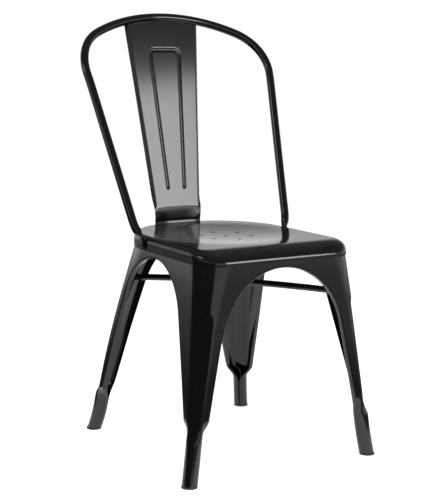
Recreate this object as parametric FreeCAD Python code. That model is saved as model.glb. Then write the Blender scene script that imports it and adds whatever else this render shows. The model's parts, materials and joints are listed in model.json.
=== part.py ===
import FreeCAD, Part
import math
import os

# Stacking bistro chair of pressed steel sheet. Millimetres, +Z up, front towards -Y.
# Plan positions are measured from a point under the middle of the seat, and the finished
# pieces are moved along Y at the end so that the origin is the middle of the base.

# Sheet, tube and fits
sheet = 1.5              # thickness of every pressed sheet
fit_gap = 0.3            # clearance between pieces that seat on each other
seam_gap = 0.4           # slit between two legs where their aprons meet

# Heights that the rest hangs from
seat_height = 427.0
apron_height = seat_height - 27.0    # height at which the seat-level corners are given

# Leg corner lines: the sharp corner that the rounded leg corner is drawn around
front_corner_x = 169.0
front_corner_y = -199.0
rear_corner_x = 160.0
rear_corner_y = 188.0
front_foot_x = 220.6     # the same corner lines at floor level
front_foot_y = -221.8
rear_foot_x = 197.2
rear_foot_y = 230.7
front_corner_radius = 48.0
rear_corner_radius = 146.0
front_kick = 2.5         # how far the leg draws in above its flared foot
rear_kick = 6.0
kick_height = 90.0

# Foot tube that each leg closes into
tube_radius = 15.0
front_tube_top = 80.0
rear_tube_top = 60.0
slit_angle = 175.0       # each side of the tube wraps this far from the outer corner
front_close_top = 122.0  # the open channel starts to curl towards the tube here
rear_close_top = 98.0

# Free edges of the leg wings, as a distance from the corner line at a height, and its slope
front_edge = 48.4
front_edge_height = 254.0
front_edge_slope = 0.085
flank_edge = 75.0
flank_edge_height = 244.0
flank_edge_slope = 0.29
rear_edge = 63.0
rear_edge_height = 194.0
rear_edge_slope = 0.2085
lip_radius = 4.0         # inward roll of the free edge
lip_depth = 10.0

# Arches between the legs
arch_apex = seat_height - 39.0
front_arch_spring = arch_apex - 122.0
flank_arch_spring = arch_apex - 88.0
rear_arch_spring = arch_apex - 88.0
flank_seam_y = -5.0
trim_bottom = 150.0
trim_merge = 185.0

# Pressed flute down each leg corner
flute_depth = 6.0
flute_half_width = 22.0
flute_bottom = 78.0
flute_bottom_fade = 27.0
flute_top = arch_apex - 71.0
flute_top_fade = 24.0

# Seat pan
skirt_bottom = seat_height - 27.5
nose_length = 49.0
nose_start = seat_height - 23.0
roll_radius = 12.0
dish_depth = 5.6
dish_radius = 135.0
dish_y = 6.0
drain_radius = 4.5
drain_circle = 50.0
drain_count = 6
drain_y = 2.0
front_leg_top = seat_height - 23.5
rear_leg_top = seat_height - 10.0

# Bolts that hold the hoop, and the flattened tube ends round them
bolt_radius = 3.0
bolt_height = seat_height - 16.0
bolt_hole_gap = 0.3
bolt_head_radius = 5.5
bolt_head_height = 3.4
bolt_tail = 3.0
washer_radius = 6.5
washer_thickness = 1.2
nut_flats = 10.0
nut_thickness = 5.0
end_plate_y = 39.5
end_plate_half_width = 8.0
end_plate_thickness = 4.2
end_plate_bottom = bolt_height - 11.0
end_plate_top = bolt_height + 10.0

# Back hoop
hoop_tube_radius = 8.3
hoop_wall = 1.5
hoop_bend_x = 177.9
hoop_bend_y = 53.4
hoop_bend_z = seat_height + 17.8
hoop_lean = 23.0
hoop_splay = 0.1214
hoop_length = 452.2
hoop_corner_radius = 97.0
hoop_crown_radius = 350.0
hoop_curl_length = 169.2  # the upper part of the hoop that curls backwards
hoop_curl_start = hoop_length - hoop_curl_length
hoop_curl = 0.00128
hoop_bend_reach = 9.0    # length of the small bend above each end plate, on both its sides

# Back splat
splat_bend_height = seat_height + 30.0
splat_bend_y = 188.0
splat_lean = 10.9
splat_drop = 57.7         # the panel is this much shorter than the hoop
splat_length = hoop_length - splat_drop
splat_bottom_half_width = 56.0
splat_top_half_width = 87.2
splat_tab_half_width = 54.0
splat_tab_bottom = seat_height - 25.0
splat_roll = 6.0
groove_top = 329.0
groove_bottom = 42.0
groove_top_half_width = 34.5
groove_bottom_half_width = 19.7
groove_radius = 4.5
groove_offset = 2.7
groove_corner = 12.0

# Cross braces
brace_radius = 6.5
brace_height = arch_apex - 63.0

# Rubber feet
foot_flange_radius = tube_radius
foot_flange_height = 4.0
foot_plug_height = 18.0


def vec(x, y, z=0.0):
    return FreeCAD.Vector(x, y, z)


def smooth(value, low, high):
    part = min(max((value - low) / (high - low), 0.0), 1.0)
    return part * part * (3.0 - 2.0 * part)


def kick(z, amount):
    share = z / kick_height
    return amount * share * math.exp(1.0 - share)


def front_corner(z):
    drop = (apron_height - z) / apron_height
    inward = kick(z, front_kick)
    x = front_corner_x + (front_foot_x - front_corner_x) * drop - inward
    y = front_corner_y + (front_foot_y - front_corner_y) * drop + inward
    return vec(-x, y, z)


def rear_corner(z):
    drop = (apron_height - z) / apron_height
    inward = kick(z, rear_kick)
    x = rear_corner_x + (rear_foot_x - rear_corner_x) * drop - inward
    y = rear_corner_y + (rear_foot_y - rear_corner_y) * drop - inward
    return vec(-x, y, z)


def front_radius(z):
    share = max((z - front_tube_top) / (apron_height - front_tube_top), 0.0)
    return tube_radius + (front_corner_radius - tube_radius) * share


def rear_radius(z):
    share = max((z - rear_tube_top) / (apron_height - rear_tube_top), 0.0)
    return tube_radius + (rear_corner_radius - tube_radius) * share ** 1.15


def front_wing(z):
    return front_edge + front_edge_slope * (z - front_edge_height)


def flank_wing(z):
    return flank_edge + flank_edge_slope * (z - flank_edge_height)


def rear_wing(z):
    return rear_edge + rear_edge_slope * (z - rear_edge_height)


class Corner:
    """Rounded corner in plan: wing 1 runs along one apron, wing 2 along the other."""

    def __init__(self, tip, along1, along2, radius):
        self.tip = tip
        self.dirs = {-1: along1, 1: along2}
        self.radius = radius
        self.inward = (along1 + along2).normalize()
        self.across = (along2 - along1).normalize()
        self.half = 0.5 * along1.getAngle(along2)
        self.centre = tip + self.inward * (radius / math.sin(self.half))
        self.arc_half = radius * (0.5 * math.pi - self.half)
        self.tangent = radius / math.tan(self.half)

    def point(self, s):
        side = 1 if s >= 0 else -1
        if abs(s) <= self.arc_half:
            turn = s / self.radius
            out = self.inward * (-math.cos(turn)) + self.across * math.sin(turn)
            return self.centre + out * self.radius
        run = self.tangent + abs(s) - self.arc_half
        return self.tip + self.dirs[side] * run

    def heading(self, s):
        side = 1 if s >= 0 else -1
        if abs(s) < self.arc_half:
            turn = abs(s) / self.radius
            return self.inward * math.sin(turn) + self.across * (side * math.cos(turn))
        return vec(*self.dirs[side])

    def reach(self, distance):
        """Length along the corner at which its wing is this far from the tip."""
        if distance >= self.tangent:
            return self.arc_half + distance - self.tangent
        lost = (self.tangent - distance) / self.radius
        return self.arc_half - self.radius * math.asin(min(lost, 1.0))


def leg_outline(z, is_front):
    """Corner, wing lengths and closing share of one leg at one height."""
    front_tip = front_corner(z)
    rear_tip = rear_corner(z)
    flank = rear_tip - front_tip
    flank.z = 0.0
    flank.normalize()
    if is_front:
        corner = Corner(front_tip, vec(1, 0), flank, front_radius(z))
        ends = (front_wing(z), flank_wing(z))
        mids = (-front_tip.x, flank_seam_y - front_tip.y)
        closing = 1.0 - smooth(z, front_tube_top, front_close_top)
    else:
        corner = Corner(rear_tip, vec(1, 0), flank * -1.0, rear_radius(z))
        ends = (rear_wing(z), rear_wing(z))
        mids = (-rear_tip.x, rear_tip.y - flank_seam_y)
        closing = 1.0 - smooth(z, rear_tube_top, rear_close_top)
    grow = min(max((z - trim_merge) / (front_arch_spring + 60.0 - trim_merge), 0.0), 1.0) ** 1.6
    spare = lip_radius + 8.0
    lengths = [end + (mid + spare - end) * grow for end, mid in zip(ends, mids)]
    return corner, lengths, closing


def leg_section_point(z, is_front, place):
    """Point of the leg's outer skin, place -1 to 1 from one free edge round to the other."""
    corner, lengths, closing = leg_outline(z, is_front)
    side = 1 if place >= 0 else -1
    length = lengths[1] if side > 0 else lengths[0]
    skin_end = corner.reach(max(length - lip_radius, 2.0))
    share = abs(place)
    flat_share = 0.80
    arc_share = 0.92
    along = side * skin_end * min(share / flat_share, 1.0)
    point = corner.point(along)
    if share > flat_share:
        ahead = corner.heading(along)
        turn_in = corner.inward - ahead * corner.inward.dot(ahead)
        turn_in.normalize()
        angle = 0.5 * math.pi * min((share - flat_share) / (arc_share - flat_share), 1.0)
        point = point + ahead * (lip_radius * math.sin(angle))
        point = point + turn_in * (lip_radius * (1.0 - math.cos(angle)))
        if share > arc_share:
            run = (share - arc_share) / (1.0 - arc_share)
            point = point + turn_in * ((lip_depth - lip_radius) * run)
    round_angle = math.radians(slit_angle) * place
    round_centre = corner.tip + corner.inward * (tube_radius / math.sin(corner.half))
    round_out = corner.inward * (-math.cos(round_angle)) + corner.across * math.sin(round_angle)
    round_point = round_centre + round_out * tube_radius
    point = point * (1.0 - closing) + round_point * closing
    bottom = smooth(z, flute_bottom, flute_bottom + flute_bottom_fade)
    top = 1.0 - smooth(z, flute_top - flute_top_fade, flute_top)
    if abs(along) < flute_half_width and bottom * top > 0.0:
        wave = math.cos(0.5 * math.pi * along / flute_half_width) ** 2
        point = point + corner.inward * (flute_depth * bottom * top * wave)
    return point


section_places = [-1.0, -0.96, -0.92, -0.88, -0.84, -0.80, -0.72, -0.62, -0.52, -0.42, -0.32,
                  -0.24, -0.16, -0.08]
section_places = section_places + [0.0] + [-place for place in reversed(section_places)]


def section_rows(z, is_front):
    """Points across the outer and the inner skin of a leg at one height."""
    outer = []
    inner = []
    step = 0.004
    for place in section_places:
        here = leg_section_point(z, is_front, place)
        before = leg_section_point(z, is_front, max(place - step, -1.0))
        after = leg_section_point(z, is_front, min(place + step, 1.0))
        ahead = after - before
        ahead.normalize()
        normal = vec(-ahead.y, ahead.x)
        if not is_front:
            normal = normal * -1.0
        outer.append(vec(here.x, here.y, z))
        inner.append(vec(here.x - normal.x * sheet, here.y - normal.y * sheet, z))
    return outer, inner


def through(points, knots):
    curve = Part.BSplineCurve()
    curve.interpolate(Points=points, Parameters=knots)
    return curve


def smooth_surface(rows, across, along):
    """Surface through rows of points: each row is a curve, then the curves' poles are joined."""
    curves = [through(row, across) for row in rows]
    rails = []
    for index in range(len(curves[0].getPoles())):
        rails.append(through([curve.getPoles()[index] for curve in curves], along))
    surface = Part.BSplineSurface()
    surface.buildFromPolesMultsKnots([rail.getPoles() for rail in rails],
                                     curves[0].getMultiplicities(), rails[0].getMultiplicities(),
                                     curves[0].getKnots(), rails[0].getKnots(), False, False,
                                     curves[0].Degree, rails[0].Degree)
    return surface


def skin_solid(outer_rows, inner_rows, places, heights):
    """Thin solid between two smooth surfaces, closed round its rim."""
    across = [0.5 + 0.5 * place for place in places]
    along = [(z - heights[0]) / (heights[-1] - heights[0]) for z in heights]
    outside = smooth_surface(outer_rows, across, along)
    inside = smooth_surface(inner_rows, across, along)
    faces = [outside.toShape(), inside.toShape()]
    for end in (0.0, 1.0):
        faces.append(Part.makeRuledSurface(outside.uIso(end).toShape(), inside.uIso(end).toShape()))
        faces.append(Part.makeRuledSurface(outside.vIso(end).toShape(), inside.vIso(end).toShape()))
    joined = Part.makeCompound(faces)
    joined.sewShape()
    solid = Part.makeSolid(joined.Shells[0])
    if solid.Volume < 0:
        solid.reverse()
    return solid


def leg_blank(is_front):
    top = front_leg_top if is_front else rear_leg_top
    closed = front_tube_top if is_front else rear_tube_top
    opened = front_close_top if is_front else rear_close_top
    fade_start = flute_top - flute_top_fade
    heights = [foot_flange_height]
    for start, end, steps in ((foot_flange_height, closed, 5), (closed, opened, 7),
                              (opened, fade_start, 5), (fade_start, flute_top, 2),
                              (flute_top, top, 4)):
        heights = heights + [start + (end - start) * (step + 1) / steps for step in range(steps)]
    rows = [section_rows(z, is_front) for z in heights]
    return skin_solid([row[0] for row in rows], [row[1] for row in rows], section_places, heights)


def arch_edges(left_edge, right_edge, middle, spring, apex, plane):
    """Closed outline of one arch opening, in XZ or YZ, and open at its foot."""
    def edge(z, line):
        rise = min(max((z - spring) / (apex - spring), 0.0), 1.0)
        return middle + (line(z) - middle) * math.sqrt(1.0 - rise ** 2.5)

    heights = []
    steps = 9
    for index in range(steps + 1):
        heights.append(spring + (apex - spring) * math.sin(0.5 * math.pi * index / steps))
    left = [(edge(z, left_edge), z) for z in heights]
    right = [(edge(z, right_edge), z) for z in reversed(heights[:-1])]
    crown = Part.BSplineCurve()
    crown.interpolate([plane(a, z) for a, z in left + right])
    corners = [plane(right_edge(spring), spring), plane(right_edge(trim_merge), trim_merge),
               plane(right_edge(trim_bottom) + trim_side(right_edge, middle), trim_bottom),
               plane(left_edge(trim_bottom) + trim_side(left_edge, middle), trim_bottom),
               plane(left_edge(trim_merge), trim_merge), plane(left_edge(spring), spring)]
    sides = [Part.LineSegment(a, b).toShape() for a, b in zip(corners[:-1], corners[1:])]
    return Part.Face(Part.Wire([crown.toShape()] + sides))


def trim_side(line, middle):
    """Keeps the foot of an arch cutter clear of the lip that is already in the leg."""
    inward = 8.0
    return -inward if line(trim_bottom) > middle else inward


def front_line(sign, grow=0.0):
    return lambda z: sign * (-front_corner(z).x - front_wing(z) + grow)


def rear_line(sign, grow=0.0):
    return lambda z: sign * (-rear_corner(z).x - rear_wing(z) + grow)


def flank_front_line(grow=0.0):
    return lambda z: front_corner(z).y + flank_wing(z) - grow


def flank_rear_line(grow=0.0):
    return lambda z: rear_corner(z).y - rear_wing(z) + grow


def front_arch(grow, start, reach):
    face = arch_edges(front_line(-1, grow), front_line(1, grow), 0.0, front_arch_spring,
                      arch_apex + grow, lambda a, z: vec(a, start, z))
    return face.extrude(vec(0, reach, 0))


def rear_arch(grow, start, reach):
    face = arch_edges(rear_line(-1, grow), rear_line(1, grow), 0.0, rear_arch_spring,
                      arch_apex + grow, lambda a, z: vec(a, start, z))
    return face.extrude(vec(0, reach, 0))


def flank_arch(grow, start, reach):
    face = arch_edges(flank_front_line(grow), flank_rear_line(grow), flank_seam_y,
                      flank_arch_spring, arch_apex + grow, lambda a, z: vec(start, a, z))
    return face.extrude(vec(reach, 0, 0))


def corner_arc(before, corner, after, reach):
    """Start, middle and end of the arc that rounds a corner, with this reach on both sides."""
    back = (before - corner).normalize()
    ahead = (after - corner).normalize()
    half = 0.5 * back.getAngle(ahead)
    radius = reach * math.tan(half)
    inward = (back + ahead).normalize()
    middle = corner + inward * (radius / math.sin(half) - radius)
    return corner + back * reach, middle, corner + ahead * reach


def corner_reach(before, corner, after, radius):
    """How far from a corner an arc of this radius starts."""
    return radius / math.tan(0.5 * (before - corner).getAngle(after - corner))


def filleted_loop(points, radii):
    """Closed wire of lines and arcs round the given corners."""
    edges = []
    arcs = []
    count = len(points)
    for index in range(count):
        trio = (points[index - 1], points[index], points[(index + 1) % count])
        arcs.append(corner_arc(*trio, corner_reach(*trio, radii[index])))
    for index in range(count):
        start, middle, end = arcs[index]
        edges.append(Part.Arc(start, middle, end).toShape())
        edges.append(Part.LineSegment(end, arcs[(index + 1) % count][0]).toShape())
    return Part.Wire(edges)


def plan_loop(z, out_front, out_flank, out_rear, tips=None, radii=None):
    """Rounded plan outline, offset outwards from the leg corner lines at apron height."""
    front_tip, rear_tip = tips or (front_corner(apron_height), rear_corner(apron_height))
    front_r, rear_r = radii or (front_corner_radius, rear_corner_radius)
    lean = (rear_tip.x - front_tip.x) / (rear_tip.y - front_tip.y)
    spread = out_flank * math.sqrt(1.0 + lean * lean)

    def flank_x(y):
        return front_tip.x + lean * (y - front_tip.y) - spread

    y_front = front_tip.y - out_front
    y_rear = rear_tip.y + out_rear
    points = [vec(flank_x(y_front), y_front, z), vec(-flank_x(y_front), y_front, z),
              vec(-flank_x(y_rear), y_rear, z), vec(flank_x(y_rear), y_rear, z)]
    front_r = max(front_r + 0.5 * (out_front + out_flank), 10.0)
    rear_r = max(rear_r + 0.5 * (out_rear + out_flank), 10.0)
    return filleted_loop(points, [front_r, front_r, rear_r, rear_r])


def envelope(inset, low, high):
    """Solid inside the legs' outer skin, used to trim what lies behind it."""
    wires = []
    for share in (0.0, 0.25, 0.5, 0.75, 1.0):
        z = low + (high - low) * share
        tips = (front_corner(z), rear_corner(z))
        radii = (front_radius(z), rear_radius(z))
        wires.append(plan_loop(z, -inset, -inset, -inset, tips, radii))
    return Part.makeLoft(wires, True, False)


def seat_levels(inset, drop):
    wires = []
    over = sheet + fit_gap - inset
    roll_start = seat_height - roll_radius
    heights = [skirt_bottom, nose_start, 0.5 * (nose_start + roll_start), roll_start]
    for turn in (22.5, 45.0, 67.5, 90.0):
        heights.append(roll_start + roll_radius * math.sin(math.radians(turn)))
    for z in heights:
        nose_share = min(max((z - nose_start) / (seat_height - nose_start), 0.0), 1.0)
        roll_share = min(max((z - seat_height + roll_radius) / roll_radius, 0.0), 1.0)
        nose = nose_length * (1.0 - math.sqrt(1.0 - nose_share ** 2))
        roll = roll_radius * (1.0 - math.sqrt(1.0 - roll_share ** 2))
        wires.append(plan_loop(z - drop, over - nose, over - roll, over - roll))
    return wires


def seat_blank(inset, drop, extra):
    body = Part.makeLoft(seat_levels(inset, drop), True, False)
    sphere_radius = (dish_radius ** 2 + dish_depth ** 2) / (2.0 * dish_depth)
    centre = vec(0, dish_y, seat_height - dish_depth + sphere_radius)
    ball = Part.makeSphere(sphere_radius + extra)
    ball.rotate(vec(0, 0, 0), vec(1, 0, 0), 90)
    ball.translate(centre)
    return body.cut(ball)


def make_seat():
    pan = seat_blank(0.0, 0.0, 0.0)
    hollow = seat_blank(sheet, sheet, sheet)
    foot = plan_loop(skirt_bottom - 5.0, fit_gap, fit_gap, fit_gap)
    plug = Part.Face(foot).extrude(vec(0, 0, 5.0))
    pan = pan.cut(hollow).cut(plug)
    low = seat_height - dish_depth - 10.0
    spots = [vec(0, drain_y, low)]
    for index in range(drain_count):
        angle = math.radians(90.0 + 360.0 * index / drain_count)
        spots.append(vec(drain_circle * math.cos(angle), drain_y + drain_circle * math.sin(angle), low))
    for spot in spots:
        pan = pan.cut(Part.makeCylinder(drain_radius, 20.0, spot, vec(0, 0, 1)))
    for side in (-1, 1):
        pan = pan.cut(bolt_hole(side))
    return pan


def skirt_x(y):
    """Outer face of the seat skirt on the left side."""
    front_tip = front_corner(apron_height)
    rear_tip = rear_corner(apron_height)
    lean = (rear_tip.x - front_tip.x) / (rear_tip.y - front_tip.y)
    return front_tip.x + lean * (y - front_tip.y) - (sheet + fit_gap) * math.sqrt(1 + lean ** 2)


def bolt_hole(side):
    reach = 60.0
    start = vec(side * (hoop_bend_x - 40.0), end_plate_y, bolt_height)
    return Part.makeCylinder(bolt_radius + bolt_hole_gap, reach, start, vec(side, 0, 0))


def make_leg(is_front):
    """Blank with a lip set behind the rim of each arch, and the arches cut through both."""
    behind = envelope(0.4, trim_merge - 5.0, apron_height).cut(
        envelope(lip_depth, trim_merge - 6.0, apron_height + 1.0))
    spare = 1.0
    side_x = -front_corner_x - 60.0
    flank_opening = flank_arch(0.0, side_x, 130.0)
    flank_lip = flank_arch(sheet, side_x, 130.0).cut(flank_arch(-spare, side_x, 130.0))
    if is_front:
        face_y = front_corner_y - 30.0
        opening = front_arch(0.0, face_y, 80.0)
        lip = front_arch(sheet, face_y, 80.0).cut(front_arch(-spare, face_y, 80.0))
    else:
        face_y = rear_corner_y + 60.0
        opening = rear_arch(0.0, face_y, -140.0)
        lip = rear_arch(sheet, face_y, -140.0).cut(rear_arch(-spare, face_y, -140.0))
    over = 500.0
    beyond_x = Part.makeBox(over, 2 * over, over, vec(-0.5 * seam_gap, -over, 0))
    if is_front:
        beyond_y = Part.makeBox(2 * over, over, over, vec(-over, flank_seam_y - 0.5 * seam_gap, 0))
    else:
        beyond_y = Part.makeBox(2 * over, over, over, vec(-over, flank_seam_y + 0.5 * seam_gap - over, 0))
    leg = leg_blank(is_front).cut(beyond_x).cut(beyond_y)
    for rim in (lip, flank_lip):
        leg = leg.fuse(rim.common(behind).cut(beyond_x).cut(beyond_y))
    leg = leg.cut(opening).cut(flank_opening)
    if not is_front:
        leg = leg.cut(bolt_hole(-1))
    return biggest(leg)


def biggest(shape):
    solids = sorted(shape.Solids, key=lambda solid: solid.Volume)
    return solids[-1]


def hoop_space(x, v, dx=0.0, dv=1.0):
    """Point of the hoop's flat outline in space, with the crown's backward curl, and the
    heading there of a line that runs along dx, dv in the flat outline."""
    lean = math.radians(hoop_lean)
    over = max(v - hoop_curl_start, 0.0)
    curl = hoop_curl * over ** 2
    y = hoop_bend_y + v * math.sin(lean) + curl * math.cos(lean)
    z = hoop_bend_z + v * math.cos(lean) - curl * math.sin(lean)
    bend = 2.0 * hoop_curl * over * dv
    heading = vec(dx, dv * math.sin(lean) + bend * math.cos(lean), dv * math.cos(lean) - bend * math.sin(lean))
    return vec(x, y, z), heading.normalize()


def hoop_stations():
    """Points and headings up the right side, round its corner and to the middle of the crown."""
    start_x = hoop_bend_x - hoop_corner_radius * math.hypot(1.0, hoop_splay)
    crown_v = hoop_length - hoop_crown_radius
    qa = hoop_splay ** 2 + 1.0
    qb = 2.0 * start_x * hoop_splay - 2.0 * crown_v
    qc = start_x ** 2 + crown_v ** 2 - (hoop_crown_radius - hoop_corner_radius) ** 2
    corner_v = (-qb + math.sqrt(qb * qb - 4.0 * qa * qc)) / (2.0 * qa)
    corner_x = start_x + hoop_splay * corner_v
    slope = math.atan(hoop_splay)
    handover = math.atan2(corner_v - crown_v, corner_x)
    side_x = hoop_bend_x + hoop_splay * hoop_curl_start
    stations = [hoop_space(side_x, hoop_curl_start, hoop_splay, 1.0)]
    for share in (0.0, 0.33, 0.67, 1.0):
        angle = -slope + (handover + slope) * share
        stations.append(hoop_space(corner_x + hoop_corner_radius * math.cos(angle),
                                   corner_v + hoop_corner_radius * math.sin(angle),
                                   -math.sin(angle), math.cos(angle)))
    stations.append(hoop_space(0.0, hoop_length, -1.0, 0.0))
    return stations


def two_arcs(start, end):
    """Two arcs that leave one station and arrive at the next along their headings."""
    a, leave = start
    b, arrive = end
    gap = b - a
    both = leave + arrive
    bend = 2.0 * (1.0 - leave.dot(arrive))
    reach = (math.sqrt(gap.dot(both) ** 2 + bend * gap.dot(gap)) - gap.dot(both)) / bend
    first = a + leave * reach
    second = b - arrive * reach
    join = (first + second) * 0.5
    return [Part.Arc(*corner_arc(a, first, join, reach)).toShape(),
            Part.Arc(*corner_arc(join, second, b, reach)).toShape()]


def hoop_path():
    """Middle line of the round tube, from the left neck over the crown to the right neck."""
    plate_x = skirt_x(end_plate_y) - fit_gap - 0.5 * end_plate_thickness
    low = vec(-plate_x, end_plate_y, end_plate_top)
    bend = vec(hoop_bend_x, hoop_bend_y, hoop_bend_z)
    neck = low + (bend - low) * 0.45
    stations = hoop_stations()
    below, middle, above = corner_arc(neck, bend, stations[0][0], hoop_bend_reach)
    edges = [Part.LineSegment(neck, below).toShape(), Part.Arc(below, middle, above).toShape(),
             Part.LineSegment(above, stations[0][0]).toShape()]
    for index in range(len(stations) - 1):
        edges = edges + two_arcs(stations[index], stations[index + 1])
    others = [mirrored(edge) for edge in edges]
    wire = Part.Wire(Part.sortEdges(others + edges)[0])
    left_neck = vec(-neck.x, neck.y, neck.z)
    left_bend = vec(-bend.x, bend.y, bend.z)
    left_low = vec(-low.x, low.y, low.z)
    return wire, left_neck, (left_bend - left_neck).normalize(), left_low


def hoop_sweep(radius):
    wire, start, heading, low = hoop_path()
    ring = Part.Wire(Part.Circle(start, heading, radius).toShape())
    return Part.Wire(wire).makePipeShell([ring], True, False)


def hoop_end(side):
    wire, start, heading, low = hoop_path()
    ring = Part.Wire(Part.Circle(start, heading, hoop_tube_radius).toShape())
    wide = low + vec(0, end_plate_half_width, 0)
    thick = low + vec(0.5 * end_plate_thickness, 0, 0)
    flat = Part.Ellipse(wide, thick, low)
    flat_wire = Part.Wire(flat.toShape())
    neck = Part.makeLoft([ring, flat_wire], True, False)
    height = low.z - end_plate_bottom
    plate = Part.Face(flat_wire).extrude(vec(0, 0, -height))
    centre_z = end_plate_bottom + end_plate_half_width
    disc = Part.makeCylinder(end_plate_half_width, 20, vec(low.x - 10, low.y, centre_z), vec(1, 0, 0))
    upper = Part.makeBox(20, 2 * end_plate_half_width, low.z - centre_z + 1,
                         vec(low.x - 10, low.y - end_plate_half_width, centre_z))
    plate = plate.common(disc.fuse(upper))
    end = neck.fuse(plate)
    if side > 0:
        end = end.mirror(vec(0, 0, 0), vec(1, 0, 0))
    return end


def make_hoop():
    tube = hoop_sweep(hoop_tube_radius)
    bore = hoop_sweep(hoop_tube_radius - hoop_wall)
    hoop = tube.cut(bore)
    for side in (-1, 1):
        hoop = hoop.fuse(hoop_end(side))
    for side in (-1, 1):
        hoop = hoop.cut(bolt_hole(side))
    return biggest(hoop)


def splat_base(z):
    """Depth of the splat's front face on the centre line."""
    tab_y = rear_corner(apron_height).y + sheet + 2.0 * fit_gap
    lean_y = splat_bend_y + (z - splat_bend_height) * math.tan(math.radians(splat_lean))
    bend = smooth(z, splat_bend_height - 22.0, splat_bend_height + 8.0)
    return tab_y + (lean_y - tab_y) * bend


splat_places = [-1.0, -0.975, -0.95, -0.92, -0.86, -0.7, -0.5, -0.25]
splat_places = splat_places + [0.0] + [-place for place in reversed(splat_places)]


def splat_section(z):
    rise = (z - splat_bend_height) / math.cos(math.radians(splat_lean))
    widen = (splat_top_half_width - splat_bottom_half_width) / splat_length
    top_z = splat_bend_height + splat_length * math.cos(math.radians(splat_lean))
    full = splat_bottom_half_width + widen * max(rise, 0.0)
    open_up = smooth(z, splat_bend_height - 25.0, splat_bend_height + 6.0)
    half = splat_tab_half_width + (full - splat_tab_half_width) * open_up
    roll = splat_roll * smooth(z, splat_bend_height - 10.0, splat_bend_height + 25.0)
    wrap_radius = rear_corner_radius + sheet + 2.0 * fit_gap
    bend_corner = leg_outline(apron_height, False)[0]
    flat_half = -bend_corner.tip.x - bend_corner.tangent
    front = []
    back = []
    for place in splat_places:
        x = place * half
        beyond = max(abs(x) - flat_half, 0.0)
        wrap = wrap_radius - math.sqrt(wrap_radius ** 2 - beyond ** 2)
        edge = max(abs(x) - (half - 8.0), 0.0) / 8.0
        sag = x * x / (2.0 * hoop_crown_radius) * smooth(z, top_z - 200.0, top_z)
        y = splat_base(z - sag) - wrap * (1.0 - open_up) + roll * edge ** 2
        slope = 2.0 * roll * edge / 8.0 * (1 if place > 0 else -1)
        length = math.hypot(1.0, slope)
        front.append(vec(x, y, z - sag))
        back.append(vec(x - sheet * slope / length, y + sheet / length, z - sag))
    return front, back


def splat_frame(u, v, depth):
    lean = math.radians(splat_lean)
    y = splat_bend_y + v * math.sin(lean) + depth * math.cos(lean)
    z = splat_bend_height + v * math.cos(lean) - depth * math.sin(lean)
    return vec(u, y, z)


def groove_solid(radius, depth):
    low_left = splat_frame(-groove_bottom_half_width, groove_bottom, depth)
    top_left = splat_frame(-groove_top_half_width, groove_top, depth)
    top_right = splat_frame(groove_top_half_width, groove_top, depth)
    low_right = splat_frame(groove_bottom_half_width, groove_bottom, depth)
    edges = []
    last = low_left
    for trio in ((low_left, top_left, top_right), (top_left, top_right, low_right)):
        start, middle, end = corner_arc(*trio, corner_reach(*trio, groove_corner))
        edges.append(Part.LineSegment(last, start).toShape())
        edges.append(Part.Arc(start, middle, end).toShape())
        last = end
    edges.append(Part.LineSegment(last, low_right).toShape())
    heading = (top_left - low_left).normalize()
    ring = Part.Wire(Part.Circle(low_left, heading, radius).toShape())
    tube = Part.Wire(edges).makePipeShell([ring], True, False)
    return tube.fuse([Part.makeSphere(radius, low_left), Part.makeSphere(radius, low_right)])


def make_splat():
    top_z = splat_bend_height + splat_length * math.cos(math.radians(splat_lean))
    heights = [splat_tab_bottom]
    for end, steps in ((splat_bend_height, 7), (splat_bend_height + 30.0, 3), (top_z, 6)):
        start = heights[-1]
        heights = heights + [start + (end - start) * (step + 1) / steps for step in range(steps)]
    rows = [splat_section(z) for z in heights]
    plate = skin_solid([row[0] for row in rows], [row[1] for row in rows], splat_places, heights)
    bulge = groove_solid(groove_radius + sheet, -groove_offset)
    across = 400.0
    keep = Part.makeBox(across, 60.0, 500.0, vec(-0.5 * across, 0.4, 0))
    keep.rotate(vec(0, 0, 0), vec(1, 0, 0), -splat_lean)
    keep.translate(vec(0, splat_bend_y, splat_bend_height))
    splat = plate.fuse(bulge.common(keep))
    splat = splat.cut(groove_solid(groove_radius, -groove_offset))
    splat = splat.cut(hoop_sweep(hoop_tube_radius + fit_gap))
    return biggest(splat)


def brace_seat(is_front, side):
    """Inner skin of a leg on the diagonal of its corner, and the diagonal's inward direction."""
    corner = leg_outline(brace_height, is_front)[0]
    point = corner.centre - corner.inward * (corner.radius - sheet)
    inward = vec(-side * corner.inward.x, corner.inward.y)
    return vec(-side * point.x, point.y, brace_height), inward, corner.radius - sheet


def brace_setback(run, inward, seat_radius, rise, length):
    """Distance that keeps the whole rim of a square-cut bar end off the curved, leaning leg."""
    bowl = brace_radius ** 2 / (2.0 * seat_radius)
    lean = (front_foot_x - front_corner_x + rear_foot_y - rear_corner_y) / apron_height
    tilt = 4.0 * abs(rise) / length
    skew = math.tan(run.getAngle(inward))
    return fit_gap + bowl + brace_radius * (lean + tilt + skew)


def make_brace(side, rise):
    front, front_in, front_bowl = brace_seat(True, side)
    rear, rear_in, rear_bowl = brace_seat(False, -side)
    length = (rear - front).Length
    run = (rear - front).normalize()
    start = front + run * brace_setback(run, front_in, front_bowl, rise, length)
    end = rear - run * brace_setback(run * -1.0, rear_in, rear_bowl, rise, length)
    middle = (start + end) * 0.5 + vec(0, 0, rise)
    bow = Part.Arc(start, middle, end)
    heading = bow.tangent(bow.FirstParameter)[0]
    ring = Part.Wire(Part.Circle(start, heading, brace_radius).toShape())
    return Part.Wire(bow.toShape()).makePipeShell([ring], True, True)


def tube_centre(z, is_front):
    corner = leg_outline(z, is_front)[0]
    return corner.tip + corner.inward * (tube_radius / math.sin(corner.half))


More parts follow.
